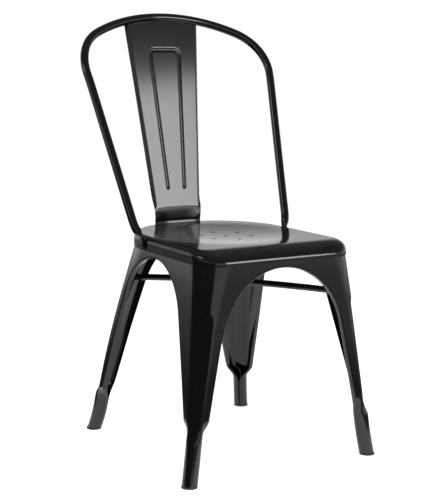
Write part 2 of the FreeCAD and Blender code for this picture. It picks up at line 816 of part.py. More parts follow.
def make_foot(is_front):
    base = tube_centre(0.0, is_front)
    top = tube_centre(foot_flange_height, is_front)
    flange = Part.makeCylinder(foot_flange_radius, foot_flange_height, vec(base.x, base.y, 0))
    rim = 0.8
    flange = flange.makeChamfer(rim, [flange.Edges[0]])
    tip_z = foot_flange_height + foot_plug_height
    tip = tube_centre(tip_z, is_front)
    up = vec(tip.x - top.x, tip.y - top.y, foot_plug_height)
    # The tube is round where it is cut level, so a plug that leans with it has to be thinner
    plug_radius = (tube_radius - sheet - 2.0 * fit_gap) * foot_plug_height / up.Length
    sunk = foot_flange_height / foot_plug_height
    root = vec(top.x, top.y, foot_flange_height) - up * sunk
    plug = Part.makeCone(plug_radius, plug_radius - 1.0, (1.0 + sunk) * up.Length, root, up)
    width = 8.0 * tube_radius
    low = 0.5 * foot_flange_height
    below = Part.makeBox(width, width, width, vec(base.x - 0.5 * width, base.y - 0.5 * width, low - width))
    return flange.fuse(plug.cut(below))


def bolt_stack(side):
    """Bolt, washer and nut on one side, along X through plate, skirt and rear leg."""
    outside = skirt_x(end_plate_y) - 2.0 * fit_gap - end_plate_thickness
    inside = rear_flank_inner_x() + fit_gap
    axis = vec(1, 0, 0)
    head = Part.makeSphere(bolt_head_radius * 1.25, vec(0, 0, 0))
    sink = bolt_head_radius * 1.25 - bolt_head_height
    head.translate(vec(outside + sink, end_plate_y, bolt_height))
    slab = Part.makeBox(20, 40, 40, vec(outside - 20, end_plate_y - 20, bolt_height - 20))
    head = head.common(slab)
    disc = Part.makeCylinder(bolt_head_radius, 20, vec(outside - 20, end_plate_y, bolt_height), axis)
    head = head.common(disc)
    nut_start = inside + washer_thickness + fit_gap
    length = nut_start + nut_thickness + bolt_tail - outside
    shank = Part.makeCylinder(bolt_radius, length, vec(outside, end_plate_y, bolt_height), axis)
    bolt = head.fuse(shank).removeSplitter()
    washer = Part.makeCylinder(washer_radius, washer_thickness, vec(inside, end_plate_y, bolt_height), axis)
    washer = washer.cut(bolt_bore(inside))
    corners = []
    for index in range(7):
        angle = math.radians(60.0 * index)
        reach = 0.5 * nut_flats / math.cos(math.radians(30.0))
        corners.append(vec(nut_start, end_plate_y + reach * math.cos(angle), bolt_height + reach * math.sin(angle)))
    nut = Part.Face(Part.makePolygon(corners)).extrude(vec(nut_thickness, 0, 0))
    nut = nut.cut(bolt_bore(nut_start))
    pieces = [bolt, washer, nut]
    if side > 0:
        pieces = [piece.mirror(vec(0, 0, 0), vec(1, 0, 0)) for piece in pieces]
    return pieces


def bolt_bore(start):
    radius = bolt_radius + 0.5 * bolt_hole_gap
    return Part.makeCylinder(radius, 30, vec(start - 5, end_plate_y, bolt_height), vec(1, 0, 0))


def rear_flank_inner_x():
    """Innermost X of the rear leg's side wing over the washer."""
    worst = -1000.0
    for step in (-1.0, 0.0, 1.0):
        z = min(bolt_height + step * washer_radius, rear_leg_top)
        front_tip = front_corner(z)
        rear_tip = rear_corner(z)
        for y in (end_plate_y - washer_radius, end_plate_y + washer_radius):
            share = (y - front_tip.y) / (rear_tip.y - front_tip.y)
            x = front_tip.x + (rear_tip.x - front_tip.x) * share
            bow = max(y - (rear_tip.y - rear_radius(z)), 0.0)
            x = x + rear_radius(z) - math.sqrt(rear_radius(z) ** 2 - bow ** 2)
            worst = max(worst, x)
    return worst + sheet


def mirrored(shape):
    return shape.mirror(vec(0, 0, 0), vec(1, 0, 0))


def build():
    nodes = {}
    nodes["seat_pan"] = make_seat()
    front_leg = make_leg(True)
    rear_leg = make_leg(False)
    nodes["leg_front_left"] = front_leg
    nodes["leg_front_right"] = mirrored(front_leg)
    nodes["leg_rear_left"] = rear_leg
    nodes["leg_rear_right"] = mirrored(rear_leg)
    nodes["back_hoop"] = make_hoop()
    nodes["back_splat"] = make_splat()
    rise = brace_radius + fit_gap
    nodes["cross_brace_upper"] = make_brace(1, rise)
    nodes["cross_brace_lower"] = make_brace(-1, -rise)
    front_foot = make_foot(True)
    rear_foot = make_foot(False)
    nodes["rubber_foot_front_left"] = front_foot
    nodes["rubber_foot_front_right"] = mirrored(front_foot)
    nodes["rubber_foot_rear_left"] = rear_foot
    nodes["rubber_foot_rear_right"] = mirrored(rear_foot)
    left = bolt_stack(-1)
    right = bolt_stack(1)
    nodes["hoop_bolts"] = Part.makeCompound([left[0], right[0]])
    nodes["hoop_washers"] = Part.makeCompound([left[1], right[1]])
    nodes["hoop_nuts"] = Part.makeCompound([left[2], right[2]])
    return nodes


def main():
    nodes = build()
    front = min(shape.optimalBoundingBox(False, False).YMin for shape in nodes.values())
    back = max(shape.optimalBoundingBox(False, False).YMax for shape in nodes.values())
    os.makedirs("parts", exist_ok=True)
    for name, shape in nodes.items():
        shape.translate(vec(0, -0.5 * (front + back), 0))
        shape.exportStep("parts/" + name + ".step")
        count = len(shape.Solids)
        print(name, "solids", count, "volume", round(shape.Volume), "valid", shape.isValid())
    print("shift", round(-0.5 * (front + back), 3), "depth", round(back - front, 2))


main()
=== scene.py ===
# %% [markdown]
# # A stacking bistro chair of pressed steel sheet
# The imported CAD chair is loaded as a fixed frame. It says where every piece is. The pressed
# sheets, the tube and the bars are then made again as smooth surfaces, because a glossy coat
# shows every flat facet of a coarse mesh.
# %% The frame
import json
import math
from types import SimpleNamespace

import bmesh
import bpy
import numpy as np
from mathutils import Matrix, Vector

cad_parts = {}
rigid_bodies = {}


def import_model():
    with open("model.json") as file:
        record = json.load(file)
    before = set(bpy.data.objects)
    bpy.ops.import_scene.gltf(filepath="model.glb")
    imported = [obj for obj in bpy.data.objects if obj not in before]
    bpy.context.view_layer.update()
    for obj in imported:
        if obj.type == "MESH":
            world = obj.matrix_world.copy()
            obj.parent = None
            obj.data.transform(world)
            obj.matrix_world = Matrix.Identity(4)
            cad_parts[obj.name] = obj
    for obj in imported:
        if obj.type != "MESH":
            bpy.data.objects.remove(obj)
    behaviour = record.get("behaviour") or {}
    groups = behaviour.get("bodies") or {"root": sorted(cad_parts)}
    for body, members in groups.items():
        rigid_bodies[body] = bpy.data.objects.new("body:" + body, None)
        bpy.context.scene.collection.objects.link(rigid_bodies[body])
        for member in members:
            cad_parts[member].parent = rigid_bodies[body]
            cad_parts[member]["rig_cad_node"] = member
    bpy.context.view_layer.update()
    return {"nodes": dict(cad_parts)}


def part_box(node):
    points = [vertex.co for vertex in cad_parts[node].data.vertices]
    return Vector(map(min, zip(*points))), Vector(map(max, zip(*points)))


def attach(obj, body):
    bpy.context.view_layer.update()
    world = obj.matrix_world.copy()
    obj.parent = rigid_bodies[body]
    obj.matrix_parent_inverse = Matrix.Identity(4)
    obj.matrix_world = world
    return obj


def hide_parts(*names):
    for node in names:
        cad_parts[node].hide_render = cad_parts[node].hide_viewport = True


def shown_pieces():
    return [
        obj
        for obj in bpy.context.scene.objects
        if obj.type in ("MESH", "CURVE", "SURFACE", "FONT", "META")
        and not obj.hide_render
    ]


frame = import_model()
print("nodes in the frame:", len(frame["nodes"]))

# %% [markdown]
# ## Sizes
# All sizes are real ones, written in millimetres and turned into metres at once. Plan
# positions are measured from a point under the middle of the seat, and the frame says how
# far that point is from the origin: the foot of a leg is looked up in it further down.
# %% Sizes of the sheet and the tube
mm = 0.001
sheet = 1.5 * mm
fit_gap = 0.3 * mm
seam_gap = 0.4 * mm
tube_radius = 15 * mm
foot_height = 4 * mm
apron_height = 400 * mm
lip_radius = 4 * mm
lip_depth = 10 * mm
arch_apex = 388 * mm
flank_seam_y = -5 * mm
print("sheet", sheet, "m, foot tube radius", tube_radius, "m")

# %% [markdown]
# ## Helpers for surfaces
# A surface here is a grid of points, worked out as one whole array. The first helper numbers
# the four corners of each of its faces, also with array arithmetic, and the last one puts
# several such grids into one mesh and merges the points that they share.
# %% Grids to meshes
merge_distance = 0.01 * mm
sliver_length = 0.002 * mm


def grid_quads(rows, columns, closed):
    """Corner numbers of the faces of a grid: a point, the one beside it, and the two in the
    next row."""
    span = columns if closed else columns - 1
    row, column = np.meshgrid(np.arange(rows - 1), np.arange(span), indexing="ij")
    here = row * columns + column
    beside = row * columns + (column + 1) % columns
    return np.stack([here, beside, beside + columns, here + columns], axis=-1).reshape(-1, 4)


def add_object(name, data):
    """New object, linked to the scene."""
    thing = bpy.data.objects.new(name, data)
    bpy.context.scene.collection.objects.link(thing)
    return thing


def make_piece(name, grids, replaces, solid=False, flip=False):
    """Mesh of several point grids, arrays of (rows, columns, 3). The rows of a solid piece are
    closed rings, and those of a skin are open lines."""
    points = np.concatenate([grid.reshape(-1, 3) for grid in grids])
    faces = []
    first = 0
    for grid in grids:
        faces.append(grid_quads(grid.shape[0], grid.shape[1], solid) + first)
        first += grid.shape[0] * grid.shape[1]
    faces = np.concatenate(faces)
    if flip:
        faces = faces[:, ::-1]
    mesh = bpy.data.meshes.new(name)
    mesh.from_pydata(points.tolist(), [], faces.tolist())
    work = bmesh.new()
    work.from_mesh(mesh)
    bmesh.ops.remove_doubles(work, verts=work.verts, dist=merge_distance)
    bmesh.ops.dissolve_degenerate(work, edges=work.edges, dist=sliver_length)
    if solid:
        bmesh.ops.recalc_face_normals(work, faces=work.faces)
    work.to_mesh(mesh)
    work.free()
    mesh.shade_smooth()
    piece = add_object(name, mesh)
    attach(piece, "root")
    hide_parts(*replaces)
    print(name, "points", len(mesh.vertices), "faces", len(mesh.polygons))
    return piece


print("points nearer than", merge_distance, "m are merged")

# %% Sheet thickness and soft numbers
cut_round = 0.4 * mm
sharp_angle = math.radians(50)


def even_shading(piece):
    """Weighs normals by face size, so a wide face stays flat beside the round of its edge."""
    shade = piece.modifiers.new("shade", "WEIGHTED_NORMAL")
    shade.weight = 50


def sheet_metal(piece):
    """Gives a skin its thickness on the inside and a small round on its cut edges."""
    wall = piece.modifiers.new("wall", "SOLIDIFY")
    wall.thickness = sheet
    wall.offset = -1.0
    wall.use_even_offset = True
    edge = piece.modifiers.new("edge", "BEVEL")
    edge.width = cut_round
    edge.segments = 2
    edge.limit_method = "ANGLE"
    edge.angle_limit = sharp_angle
    even_shading(piece)


def smooth(value, low, high):
    """Goes from 0 at low to 1 at high, with a level start and end."""
    part = np.clip((value - low) / (high - low), 0.0, 1.0)
    return part * part * (3.0 - 2.0 * part)


def soft_positive(value, soft):
    """Larger of value and 0 with a soft corner: half of the value plus the root of the value
    squared plus soft squared."""
    return 0.5 * (value + np.sqrt(value * value + soft * soft))


def unit(vectors):
    """Each vector divided by its length."""
    return vectors / np.linalg.norm(vectors, axis=-1, keepdims=True)


print("a cut edge has a round of", cut_round, "m")

# %% [markdown]
# ## The leg corners
# Seen from above, the four legs are the rounded corners of one tapering shell, and the sheet
# runs on from each corner into two flat wings. The sharp corner that the sheet is rounded
# around is a straight line from the floor to the seat, drawn in a little above the foot.
# The round is widest under the seat and as small as the foot tube at the bottom.
#
# Each leg has its sharp corner's place at the floor and at the apron, and the heights where the
# foot tube ends and the sheet is open. Pairs are for the front or rear wing and for the side
# wing: how far the free edge is from the corner at one height, its slope, and the arch's start.
# %% Corner lines of the front and the rear legs
kick_height = 90 * mm
front_leg = SimpleNamespace(
    foot=(220.6 * mm, -221.8 * mm), apron=(169 * mm, -199 * mm), kick=2.5 * mm, turn=1.0,
    radius=48 * mm, bend=1.0, tube_top=80 * mm, close_top=122 * mm, top=403.5 * mm,
    edge=(48.4 * mm, 75 * mm), edge_height=(254 * mm, 244 * mm), edge_slope=(0.085, 0.29),
    spring=(266 * mm, 300 * mm))
rear_leg = SimpleNamespace(
    foot=(197.2 * mm, 230.7 * mm), apron=(160 * mm, 188 * mm), kick=6 * mm, turn=-1.0,
    radius=146 * mm, bend=1.15, tube_top=60 * mm, close_top=98 * mm, top=417 * mm,
    edge=(63 * mm, 63 * mm), edge_height=(194 * mm, 194 * mm), edge_slope=(0.2085, 0.2085),
    spring=(300 * mm, 300 * mm))


def corner_tip(leg, z):
    """Corner at height z: the straight line from seat to floor, less a draw-in that has its
    largest value at the kick height and fades as share times e to the power 1 - share."""
    drop = (apron_height - z) / apron_height
    share = z / kick_height
    inward = leg.kick * share * np.exp(1.0 - share)
    x = leg.apron[0] + (leg.foot[0] - leg.apron[0]) * drop - inward
    y = leg.apron[1] + (leg.foot[1] - leg.apron[1]) * drop + leg.turn * inward
    return np.stack([-x, y], axis=-1)


def corner_plan(leg, z):
    """Directions and rounding of the corner at each height: the two wings' directions, the way
    inwards between them, the centre of the round and where it meets the wings."""
    tip = corner_tip(leg, z)
    flank = unit(corner_tip(rear_leg, z) - corner_tip(front_leg, z)) * leg.turn
    apron = np.zeros_like(flank)
    apron[:, 0] = 1.0
    share = np.clip((z - leg.tube_top) / (apron_height - leg.tube_top), 0.0, 1.0)
    radius = tube_radius + (leg.radius - tube_radius) * share ** leg.bend
    half = 0.5 * np.arccos(np.sum(apron * flank, axis=-1))
    inward = unit(apron + flank)
    return SimpleNamespace(
        z=z, tip=tip, inward=inward, across=unit(flank - apron), half=half, radius=radius,
        centre=tip + inward * (radius / np.sin(half))[:, None],
        arc=radius * (0.5 * np.pi - half), tangent=radius / np.tan(half))


def corner_point(plan, s):
    """Point at length s along the outline: on the round while s is within the arc, and then
    straight on along the wing. Its heading is given too."""
    arc = plan.arc[:, None]
    turn = np.clip(s, -arc, arc) / plan.radius[:, None]
    sign = np.where(s >= 0, 1.0, -1.0)
    inward = plan.inward[:, None, :]
    across = plan.across[:, None, :]
    out = -inward * np.cos(turn)[..., None] + across * np.sin(turn)[..., None]
    ahead = inward * np.abs(np.sin(turn))[..., None] + across * (sign * np.cos(turn))[..., None]
    extra = np.maximum(np.abs(s) - arc, 0.0)
    point = plan.centre[:, None, :] + out * plan.radius[:, None, None] + ahead * extra[..., None]
    return point, ahead


def corner_reach(plan, distance):
    """Length along the outline at which the wing is this far from the sharp corner."""
    lost = np.clip((plan.tangent - distance) / plan.radius, 0.0, 1.0)
    past = plan.arc + distance - plan.tangent
    return np.where(distance >= plan.tangent, past, plan.arc - plan.radius * np.arcsin(lost))


heights = np.array([0.0, 200.0, 400.0]) * mm
print("front corner round at floor, middle and seat:", corner_plan(front_leg, heights).radius)

# %% [markdown]
# ## Where the wings end
# Each wing is cut back along a straight line, and near the seat along half of an arch. The
# arch is a flattened half ellipse whose power of 2.5 keeps its shoulders full. The border
# below is the line where the flat sheet starts to roll in, so it stands one roll radius
# further from the opening than the free edge does.
# %% The border of a wing
arch_power = 2.5
foot_rows, closing_rows, straight_rows, arch_rows = 8, 20, 24, 31


def wing_border(leg, z, wing):
    """Distance of the border from the corner: the middle of the arch, less the half opening
    times the square root of 1 - rise to the arch's power."""
    tip = corner_tip(leg, z)
    middle = -tip[:, 0] if wing == 0 else np.abs(flank_seam_y - tip[:, 1])
    straight = leg.edge[wing] + leg.edge_slope[wing] * (z - leg.edge_height[wing]) - lip_radius
    rise = np.clip((z - leg.spring[wing]) / (arch_apex + lip_radius - leg.spring[wing]), 0.0, 1.0)
    half_opening = (middle - straight) * np.sqrt(1.0 - rise ** arch_power)
    return middle - np.maximum(half_opening, 0.5 * seam_gap)


def leg_rows(leg):
    """Heights of the rows: close together where the sheet closes, and towards the arch's top."""
    crown = arch_apex + lip_radius
    share = np.sin(np.linspace(0, 0.5 * np.pi, arch_rows))[1:]
    return np.concatenate([
        np.linspace(foot_height, leg.tube_top, foot_rows),
        np.linspace(leg.tube_top, leg.close_top, closing_rows)[1:],
        np.linspace(leg.close_top, leg.spring[1], straight_rows)[1:],
        leg.spring[1] + (crown - leg.spring[1]) * share])


print("rows of a leg:", len(leg_rows(front_leg)))

# %% [markdown]
# ## One leg
# A real leg is one blank of sheet, folded in a press: a long flute is pushed into its corner
# to stiffen it, both free edges are rolled inwards, and at the bottom the edges are curled
# round until they nearly touch and make a tube for the rubber foot. So the leg is one grid.
# Its columns run from one free edge round the corner to the other, and its rows go up. Each
# point is a mix of the open shape and the closed tube, and the mix changes with height.
# %% The open leg
flute_depth = 6 * mm
flute_half_width = 22 * mm
flute_most = 0.85
flute_bottom = (78 * mm, 105 * mm)
flute_top = (296 * mm, 317 * mm)
skin_share, roll_share, lip_share = 0.8, 0.12, 0.08
lip_steps = np.linspace(0.0, 1.0, 4)[1:]
roll_steps = np.linspace(0.0, 1.0, 8)[1:]
flute_steps = np.linspace(0.0, 1.0, 15)
wing_steps = np.linspace(0.0, 1.0, 18)[1:]
lip_place = np.concatenate([skin_share + roll_share * roll_steps,
                            skin_share + roll_share + lip_share * lip_steps])


def leg_skin(leg, z):
    """Flat and rounded part between the two borders. Each point also has a place on the closed
    tube, which goes from -1 to 1 between the free edges."""
    plan = corner_plan(leg, z)
    sides = []
    for wing in (0, 1):
        end = corner_reach(plan, wing_border(leg, z, wing))[:, None]
        flute_end = np.minimum(flute_half_width, flute_most * end)
        sides.append(np.concatenate(
            [flute_end * flute_steps, flute_end + (end - flute_end) * wing_steps], axis=1))
    s = np.concatenate([-sides[0][:, ::-1], sides[1][:, 1:]], axis=1)
    shares = [side / side[:, -1:] for side in sides]
    place = skin_share * np.concatenate([-shares[0][:, ::-1], shares[1][:, 1:]], axis=1)
    point, ahead = corner_point(plan, s)
    skin = np.concatenate([point, np.broadcast_to(z[:, None, None], s.shape + (1,))], axis=-1)
    return plan, s, place, skin, ahead


def leg_lip(leg, plan, border, ahead, wing):
    """Rolled edge of one wing: a quarter round towards the opening and inwards, then straight
    inwards. The way to the opening is at a right angle to the border, in the sheet."""
    run = np.gradient(wing_border(leg, plan.z, wing))
    rise = np.gradient(plan.z)
    length = np.hypot(run, rise)
    sideways = rise / length
    downwards = run / length
    sideways[-1] = 0.0
    downwards[-1] = 1.0
    level = np.zeros((len(plan.z), 1))
    lean = np.gradient(plan.tip, axis=0) / rise[:, None]
    down = -np.concatenate([lean, level + 1.0], axis=1)
    level_ahead = np.concatenate([ahead, level], axis=1)
    to_opening = unit(level_ahead * sideways[:, None] + down * downwards[:, None])
    turn_in = plan.inward - ahead * np.sum(plan.inward * ahead, axis=-1, keepdims=True)
    turn_in = np.concatenate([unit(turn_in), level], axis=1)
    roll = 0.5 * np.pi * roll_steps
    out = np.concatenate([lip_radius * np.sin(roll), np.full(len(lip_steps), lip_radius)])
    deep = np.concatenate([lip_radius * (1.0 - np.cos(roll)),
                           lip_radius + (lip_depth - lip_radius) * lip_steps])
    strip = border[:, None, :] + to_opening[:, None, :] * out[None, :, None]
    return strip + turn_in[:, None, :] * deep[None, :, None]


print("flute", flute_depth, "m deep, lips", lip_depth, "m deep")

# %% The closed foot and the mix
slit_angle = math.radians(175)
apron_rows = 5


def leg_grids(leg):
    """Open shape and closed tube mixed by height, and the plain apron above the arch. The flute
    is a cosine squared across, pushed inwards, and fades out at its two ends."""
    z = leg_rows(leg)
    plan, s, place, skin, ahead = leg_skin(leg, z)
    low = leg_lip(leg, plan, skin[:, 0], ahead[:, 0], 0)
    high = leg_lip(leg, plan, skin[:, -1], ahead[:, -1], 1)
    open_shape = np.concatenate([low[:, ::-1], skin, high], axis=1)
    lips = np.tile(lip_place, (len(z), 1))
    places = np.concatenate([-lips[:, ::-1], place, lips], axis=1)
    closing = (1.0 - smooth(z, leg.tube_top, leg.close_top))[:, None, None]
    angle = (slit_angle * places)[..., None]
    tube_centre = plan.tip + plan.inward * (tube_radius / np.sin(plan.half))[:, None]
    out = -plan.inward[:, None] * np.cos(angle) + plan.across[:, None] * np.sin(angle)
    tube = np.concatenate([tube_centre[:, None] + out * tube_radius,
                           np.broadcast_to(z[:, None, None], places.shape + (1,))], axis=-1)
    shape = open_shape * (1.0 - closing) + tube * closing
    fade = smooth(z, *flute_bottom) * (1.0 - smooth(z, *flute_top))
    wave = np.cos(0.5 * np.pi * np.clip(s / flute_half_width, -1.0, 1.0)) ** 2
    push = flute_depth * fade[:, None] * wave
    first = low.shape[1]
    shape[:, first:first + s.shape[1], :2] += plan.inward[:, None] * push[..., None]
    apron = leg_skin(leg, np.linspace(z[-1], leg.top, apron_rows))[3]
    apron[0] = shape[-1, first:first + s.shape[1]]
    return shape, apron


# %% From under the seat's middle to the frame's origin
left_foot_y = sum(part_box("rubber_foot_front_left")[end].y for end in (0, 1)) / 2
foot_plan = corner_plan(front_leg, np.array([0.0]))
foot_middle = foot_plan.tip + foot_plan.inward * (tube_radius / np.sin(foot_plan.half))[:, None]
slide = left_foot_y - foot_middle[0, 1]
mirror = np.array([-1.0, 1.0, 1.0])
print("the frame's origin is", round(-slide, 5), "m behind the point under the seat's middle")


def place_in_frame(points, mirrored=False):
    """Moves points along Y to the frame's origin, and turns left into right where asked."""
    moved = points + np.array([0.0, slide, 0.0])
    return moved * mirror if mirrored else moved


# %% The four legs
for kind, leg in (("front", front_leg), ("rear", rear_leg)):
    for side in ("left", "right"):
        right = side == "right"
        grids = [place_in_frame(grid, right) for grid in leg_grids(leg)]
        node = f"leg_{kind}_{side}"
        piece = make_piece(f"pressed_{node}", grids, [node],
                           flip=(kind == "front") != right)
        sheet_metal(piece)

# %% [markdown]
# ## The seat pan
# The seat is pressed from one sheet too: a shallow round dish for the sitter, a rolled edge
# at the sides and back, a longer round nose at the front, and a short skirt that slips over
# the legs. Its outline is the same rounded four-cornered loop at every height, only smaller
# towards the top. The loop is worked out once as a function of the three offsets.
# %% The seat's outline
seat_height = 427 * mm
skirt_bottom = 399.5 * mm
nose_length = 49 * mm
nose_start = 404 * mm
roll_radius = 12 * mm
least_round = 10 * mm
arc_steps = 61
dish_depth = 5.6 * mm
dish_radius = 135 * mm
dish_y = 6 * mm
drain_y = 2 * mm
drain_radius = 4.5 * mm
drain_circle = 50 * mm
over_legs = sheet + fit_gap


def flank_line():
    """Front and rear corner at the apron, and how much the side moves in per metre of depth."""
    level = np.array([apron_height])
    front_tip = corner_tip(front_leg, level)[0]
    rear_tip = corner_tip(rear_leg, level)[0]
    return front_tip, rear_tip, (rear_tip[0] - front_tip[0]) / (rear_tip[1] - front_tip[1])


def seat_loop(out_front, out_flank, out_rear):
    """Closed loop of four arcs joined by straight runs, offset outwards from the leg corners."""
    front_tip, rear_tip, lean = flank_line()
    spread = out_flank * math.sqrt(1.0 + lean * lean)
    y = np.array([front_tip[1] - out_front, rear_tip[1] + out_rear])
    x = front_tip[0] + lean * (y - front_tip[1]) - spread
    corners = np.array([[x[1], y[1]], [x[0], y[0]], [-x[0], y[0]], [-x[1], y[1]]])
    front_round = max(front_leg.radius + 0.5 * (out_front + out_flank), least_round)
    rear_round = max(rear_leg.radius + 0.5 * (out_rear + out_flank), least_round)
    rounds = np.array([rear_round, front_round, front_round, rear_round])
    back = unit(np.roll(corners, 1, axis=0) - corners)
    ahead = unit(np.roll(corners, -1, axis=0) - corners)
    half = 0.5 * np.arccos(np.sum(back * ahead, axis=1))
    inward = unit(back + ahead)
    across = unit(ahead - back)
    centre = corners + inward * (rounds / np.sin(half))[:, None]
    turn = np.linspace(-1.0, 1.0, arc_steps)[None, :] * (0.5 * np.pi - half)[:, None]
    out = -inward[:, None] * np.cos(turn)[..., None] + across[:, None] * np.sin(turn)[..., None]
    return (centre[:, None] + out * rounds[:, None, None]).reshape(-1, 2)


print("points of the outline:", len(seat_loop(over_legs, over_legs, over_legs)))

# %% Six sectors round the middle drain hole
sectors = 6
sector_degrees = 360 // sectors
sector_steps = 44
arc_piece = 10 * mm
arc_weight = 2.5


def loop_directions(loop):
    """Direction of each point of a loop, seen from the middle drain hole."""
    return np.unwrap(np.arctan2(loop[:, 1] - drain_y, loop[:, 0]))


def loop_angles():
    """Directions that are even along the skirt, with the rounds dense, and that include the
    borders of the six sectors. On the rounds, the outline's points are near each other."""
    loop = seat_loop(over_legs, over_legs, over_legs)
    loop = np.concatenate([loop, loop[:1]])
    length = np.linalg.norm(np.diff(loop, axis=0), axis=1)
    weight = np.where(length < arc_piece, arc_weight, 1.0) * length
    run = np.concatenate([[0.0], np.cumsum(weight)])
    angle = loop_directions(loop)
    two_runs = np.concatenate([run, run[1:] + run[-1]])
    two_turns = np.concatenate([angle, angle[1:] + 2 * np.pi])
    angles = []
    for sector in range(1, sectors + 1):
        ends = np.radians([sector_degrees * sector, sector_degrees * (sector + 1)])
        turns = np.floor((ends[0] - angle[0]) / (2 * np.pi)) * 2 * np.pi
        runs = np.interp(ends - turns, two_turns, two_runs)
        spaced = np.linspace(runs[0], runs[1], sector_steps + 1)
        angles.append(np.interp(spaced, two_runs, two_turns) + turns)
    return np.stack(angles)


def loop_at(angles, outs):
    """Points of the loop in the given directions."""
    loop = seat_loop(*outs)
    angle = loop_directions(loop)
    wide = np.concatenate([angle - 2 * np.pi, angle, angle + 2 * np.pi])
    shift = np.round((np.mean(angles) - np.mean(angle)) / (2 * np.pi)) * 2 * np.pi
    return np.stack([np.interp(angles - shift, wide, np.tile(loop[:, axis], 3))
                     for axis in (0, 1)], axis=-1)


seat_angles = loop_angles()
print("points round the seat:", seat_angles[:, :-1].size)

# %% [markdown]
# ## The dish, its seven drain holes and the rolled edge
# The middle of the seat is a shallow ball-shaped dish, and its border is soft because sheet
# never bends along a sharp line. Round each hole the grid is a ring that starts at the hole
# and ends at the borders of its own sector, so no hole has to be cut afterwards.
# %% Dish and drain holes
dish_softness = 1.2 * mm
inner_radius = 20 * mm
outer_radius = 80 * mm
radial = np.linspace(inner_radius, outer_radius, 15)
hole_shares = np.linspace(0.0, 1.0, 11) ** 1.5


def on_dish(plan):
    """Plan points at their height: the level seat less a ball-shaped dish, where the larger of
    the ball's depth and nothing is taken softly."""
    ball = (dish_radius ** 2 + dish_depth ** 2) / (2 * dish_depth)
    away = np.hypot(plan[..., 0], plan[..., 1] - dish_y)
    depth = dish_depth - ball + np.sqrt(np.maximum(ball ** 2 - away ** 2, 0.0))
    height = seat_height - soft_positive(depth, dish_softness)
    return np.concatenate([plan, height[..., None]], axis=-1)


def ring(angle, radius):
    """Circle round the middle drain hole."""
    return np.stack([radius * np.cos(angle), drain_y + radius * np.sin(angle)], axis=-1)


def between(start, end, shares):
    """Rows of points that go from one line of points to another."""
    return start[None] + (end - start)[None] * shares[:, None, None]


def drain_grids(angles, middle):
    """From one outer hole to the four borders of its sector, and the sector's part of the ring
    round the middle hole."""
    low_side = ring(np.full(len(radial), angles[0]), radial)
    high_side = ring(np.full(len(radial), angles[-1]), radial)
    far_side = ring(angles, outer_radius)
    near_side = ring(angles, inner_radius)
    border = np.concatenate([low_side, far_side[1:], high_side[::-1][1:], near_side[::-1][1:]])
    hole = ring(middle, drain_circle)
    rim = hole + unit(border - hole) * drain_radius
    return [on_dish(between(rim, border, hole_shares)),
            on_dish(between(ring(angles, drain_radius), near_side, hole_shares))]


print("dish", dish_depth, "m deep, with", sectors + 1, "drain holes")

# %% Plate, rolled edge and skirt
plate_rows = 18
edge_rows = 17


def edge_grids(angles):
    """From the drain rings to the outline, and on down: a quarter ellipse at the nose, a quarter
    round at the sides and the back, and the straight skirt."""
    edge = []
    for turn in np.linspace(0.5 * np.pi, 0.0, edge_rows):
        level = nose_start + (seat_height - nose_start) * math.sin(turn)
        share = max((level - seat_height + roll_radius) / roll_radius, 0.0)
        nose = nose_length * (1.0 - math.cos(turn))
        roll = roll_radius * (1.0 - math.sqrt(1.0 - share ** 2))
        line = loop_at(angles, (over_legs - nose, over_legs - roll, over_legs - roll))
        edge.append(np.concatenate([line, np.full((len(line), 1), level)], axis=1))
    skirt = edge[-1].copy()
    skirt[:, 2] = skirt_bottom
    edge.append(skirt)
    far_side = ring(angles, outer_radius)
    plate = on_dish(between(far_side, edge[0][:, :2], np.linspace(0.0, 1.0, plate_rows)))
    plate[-1] = edge[0] = 0.5 * (plate[-1] + edge[0])
    return [plate, np.stack(edge)]


seat_grids = []
for sector, angles in enumerate(seat_angles):
    middle = math.radians(90 + sector_degrees * sector)
    for grid in drain_grids(angles, middle) + edge_grids(angles):
        seat_grids.append(place_in_frame(grid))
seat = make_piece("pressed_seat_pan", seat_grids, ["seat_pan"])
if seat.data.polygons[0].normal.z < 0:
    seat.data.flip_normals()
sheet_metal(seat)

# %% [markdown]
# ## The back hoop
# The back is one steel tube, bent in a press. Its path is flat, apart from the top, which
# curls back a little: straight sides that splay outwards, two large rounds and a flatter
# crown. At each end the tube is squashed flat and bolted to the side of the seat.
# %% The path of the hoop
hoop_tube = 8.3 * mm
hoop_bend = np.array([177.9, 53.4, 444.8]) * mm
hoop_lean = math.radians(23)
hoop_splay = 0.1214
hoop_length = 452.2 * mm
hoop_corner = 97 * mm
hoop_crown = 350 * mm
hoop_curl_start = 283 * mm
hoop_curl = 0.00128 / mm
hoop_side_start = 14 * mm
neck_end = 9 * mm
plate_y = 39.5 * mm
plate_half_width = 8 * mm
plate_thickness = 4.2 * mm
plate_bottom = 400 * mm
plate_top = 421 * mm
plate_steps = 16


def skirt_x(y):
    """How far out the seat's side is at a given depth."""
    front_tip, _, lean = flank_line()
    return -(front_tip[0] + lean * (y - front_tip[1])) + over_legs * math.hypot(1.0, lean)


def hoop_in_space(x, v):
    """Point x sideways and v up the leaning plane, curled back by a square law near the top."""
    curl = hoop_curl * np.maximum(v - hoop_curl_start, 0.0) ** 2
    y = hoop_bend[1] + v * math.sin(hoop_lean) + curl * math.cos(hoop_lean)
    z = hoop_bend[2] + v * math.cos(hoop_lean) - curl * math.sin(hoop_lean)
    return np.stack([x, y, z], axis=-1)


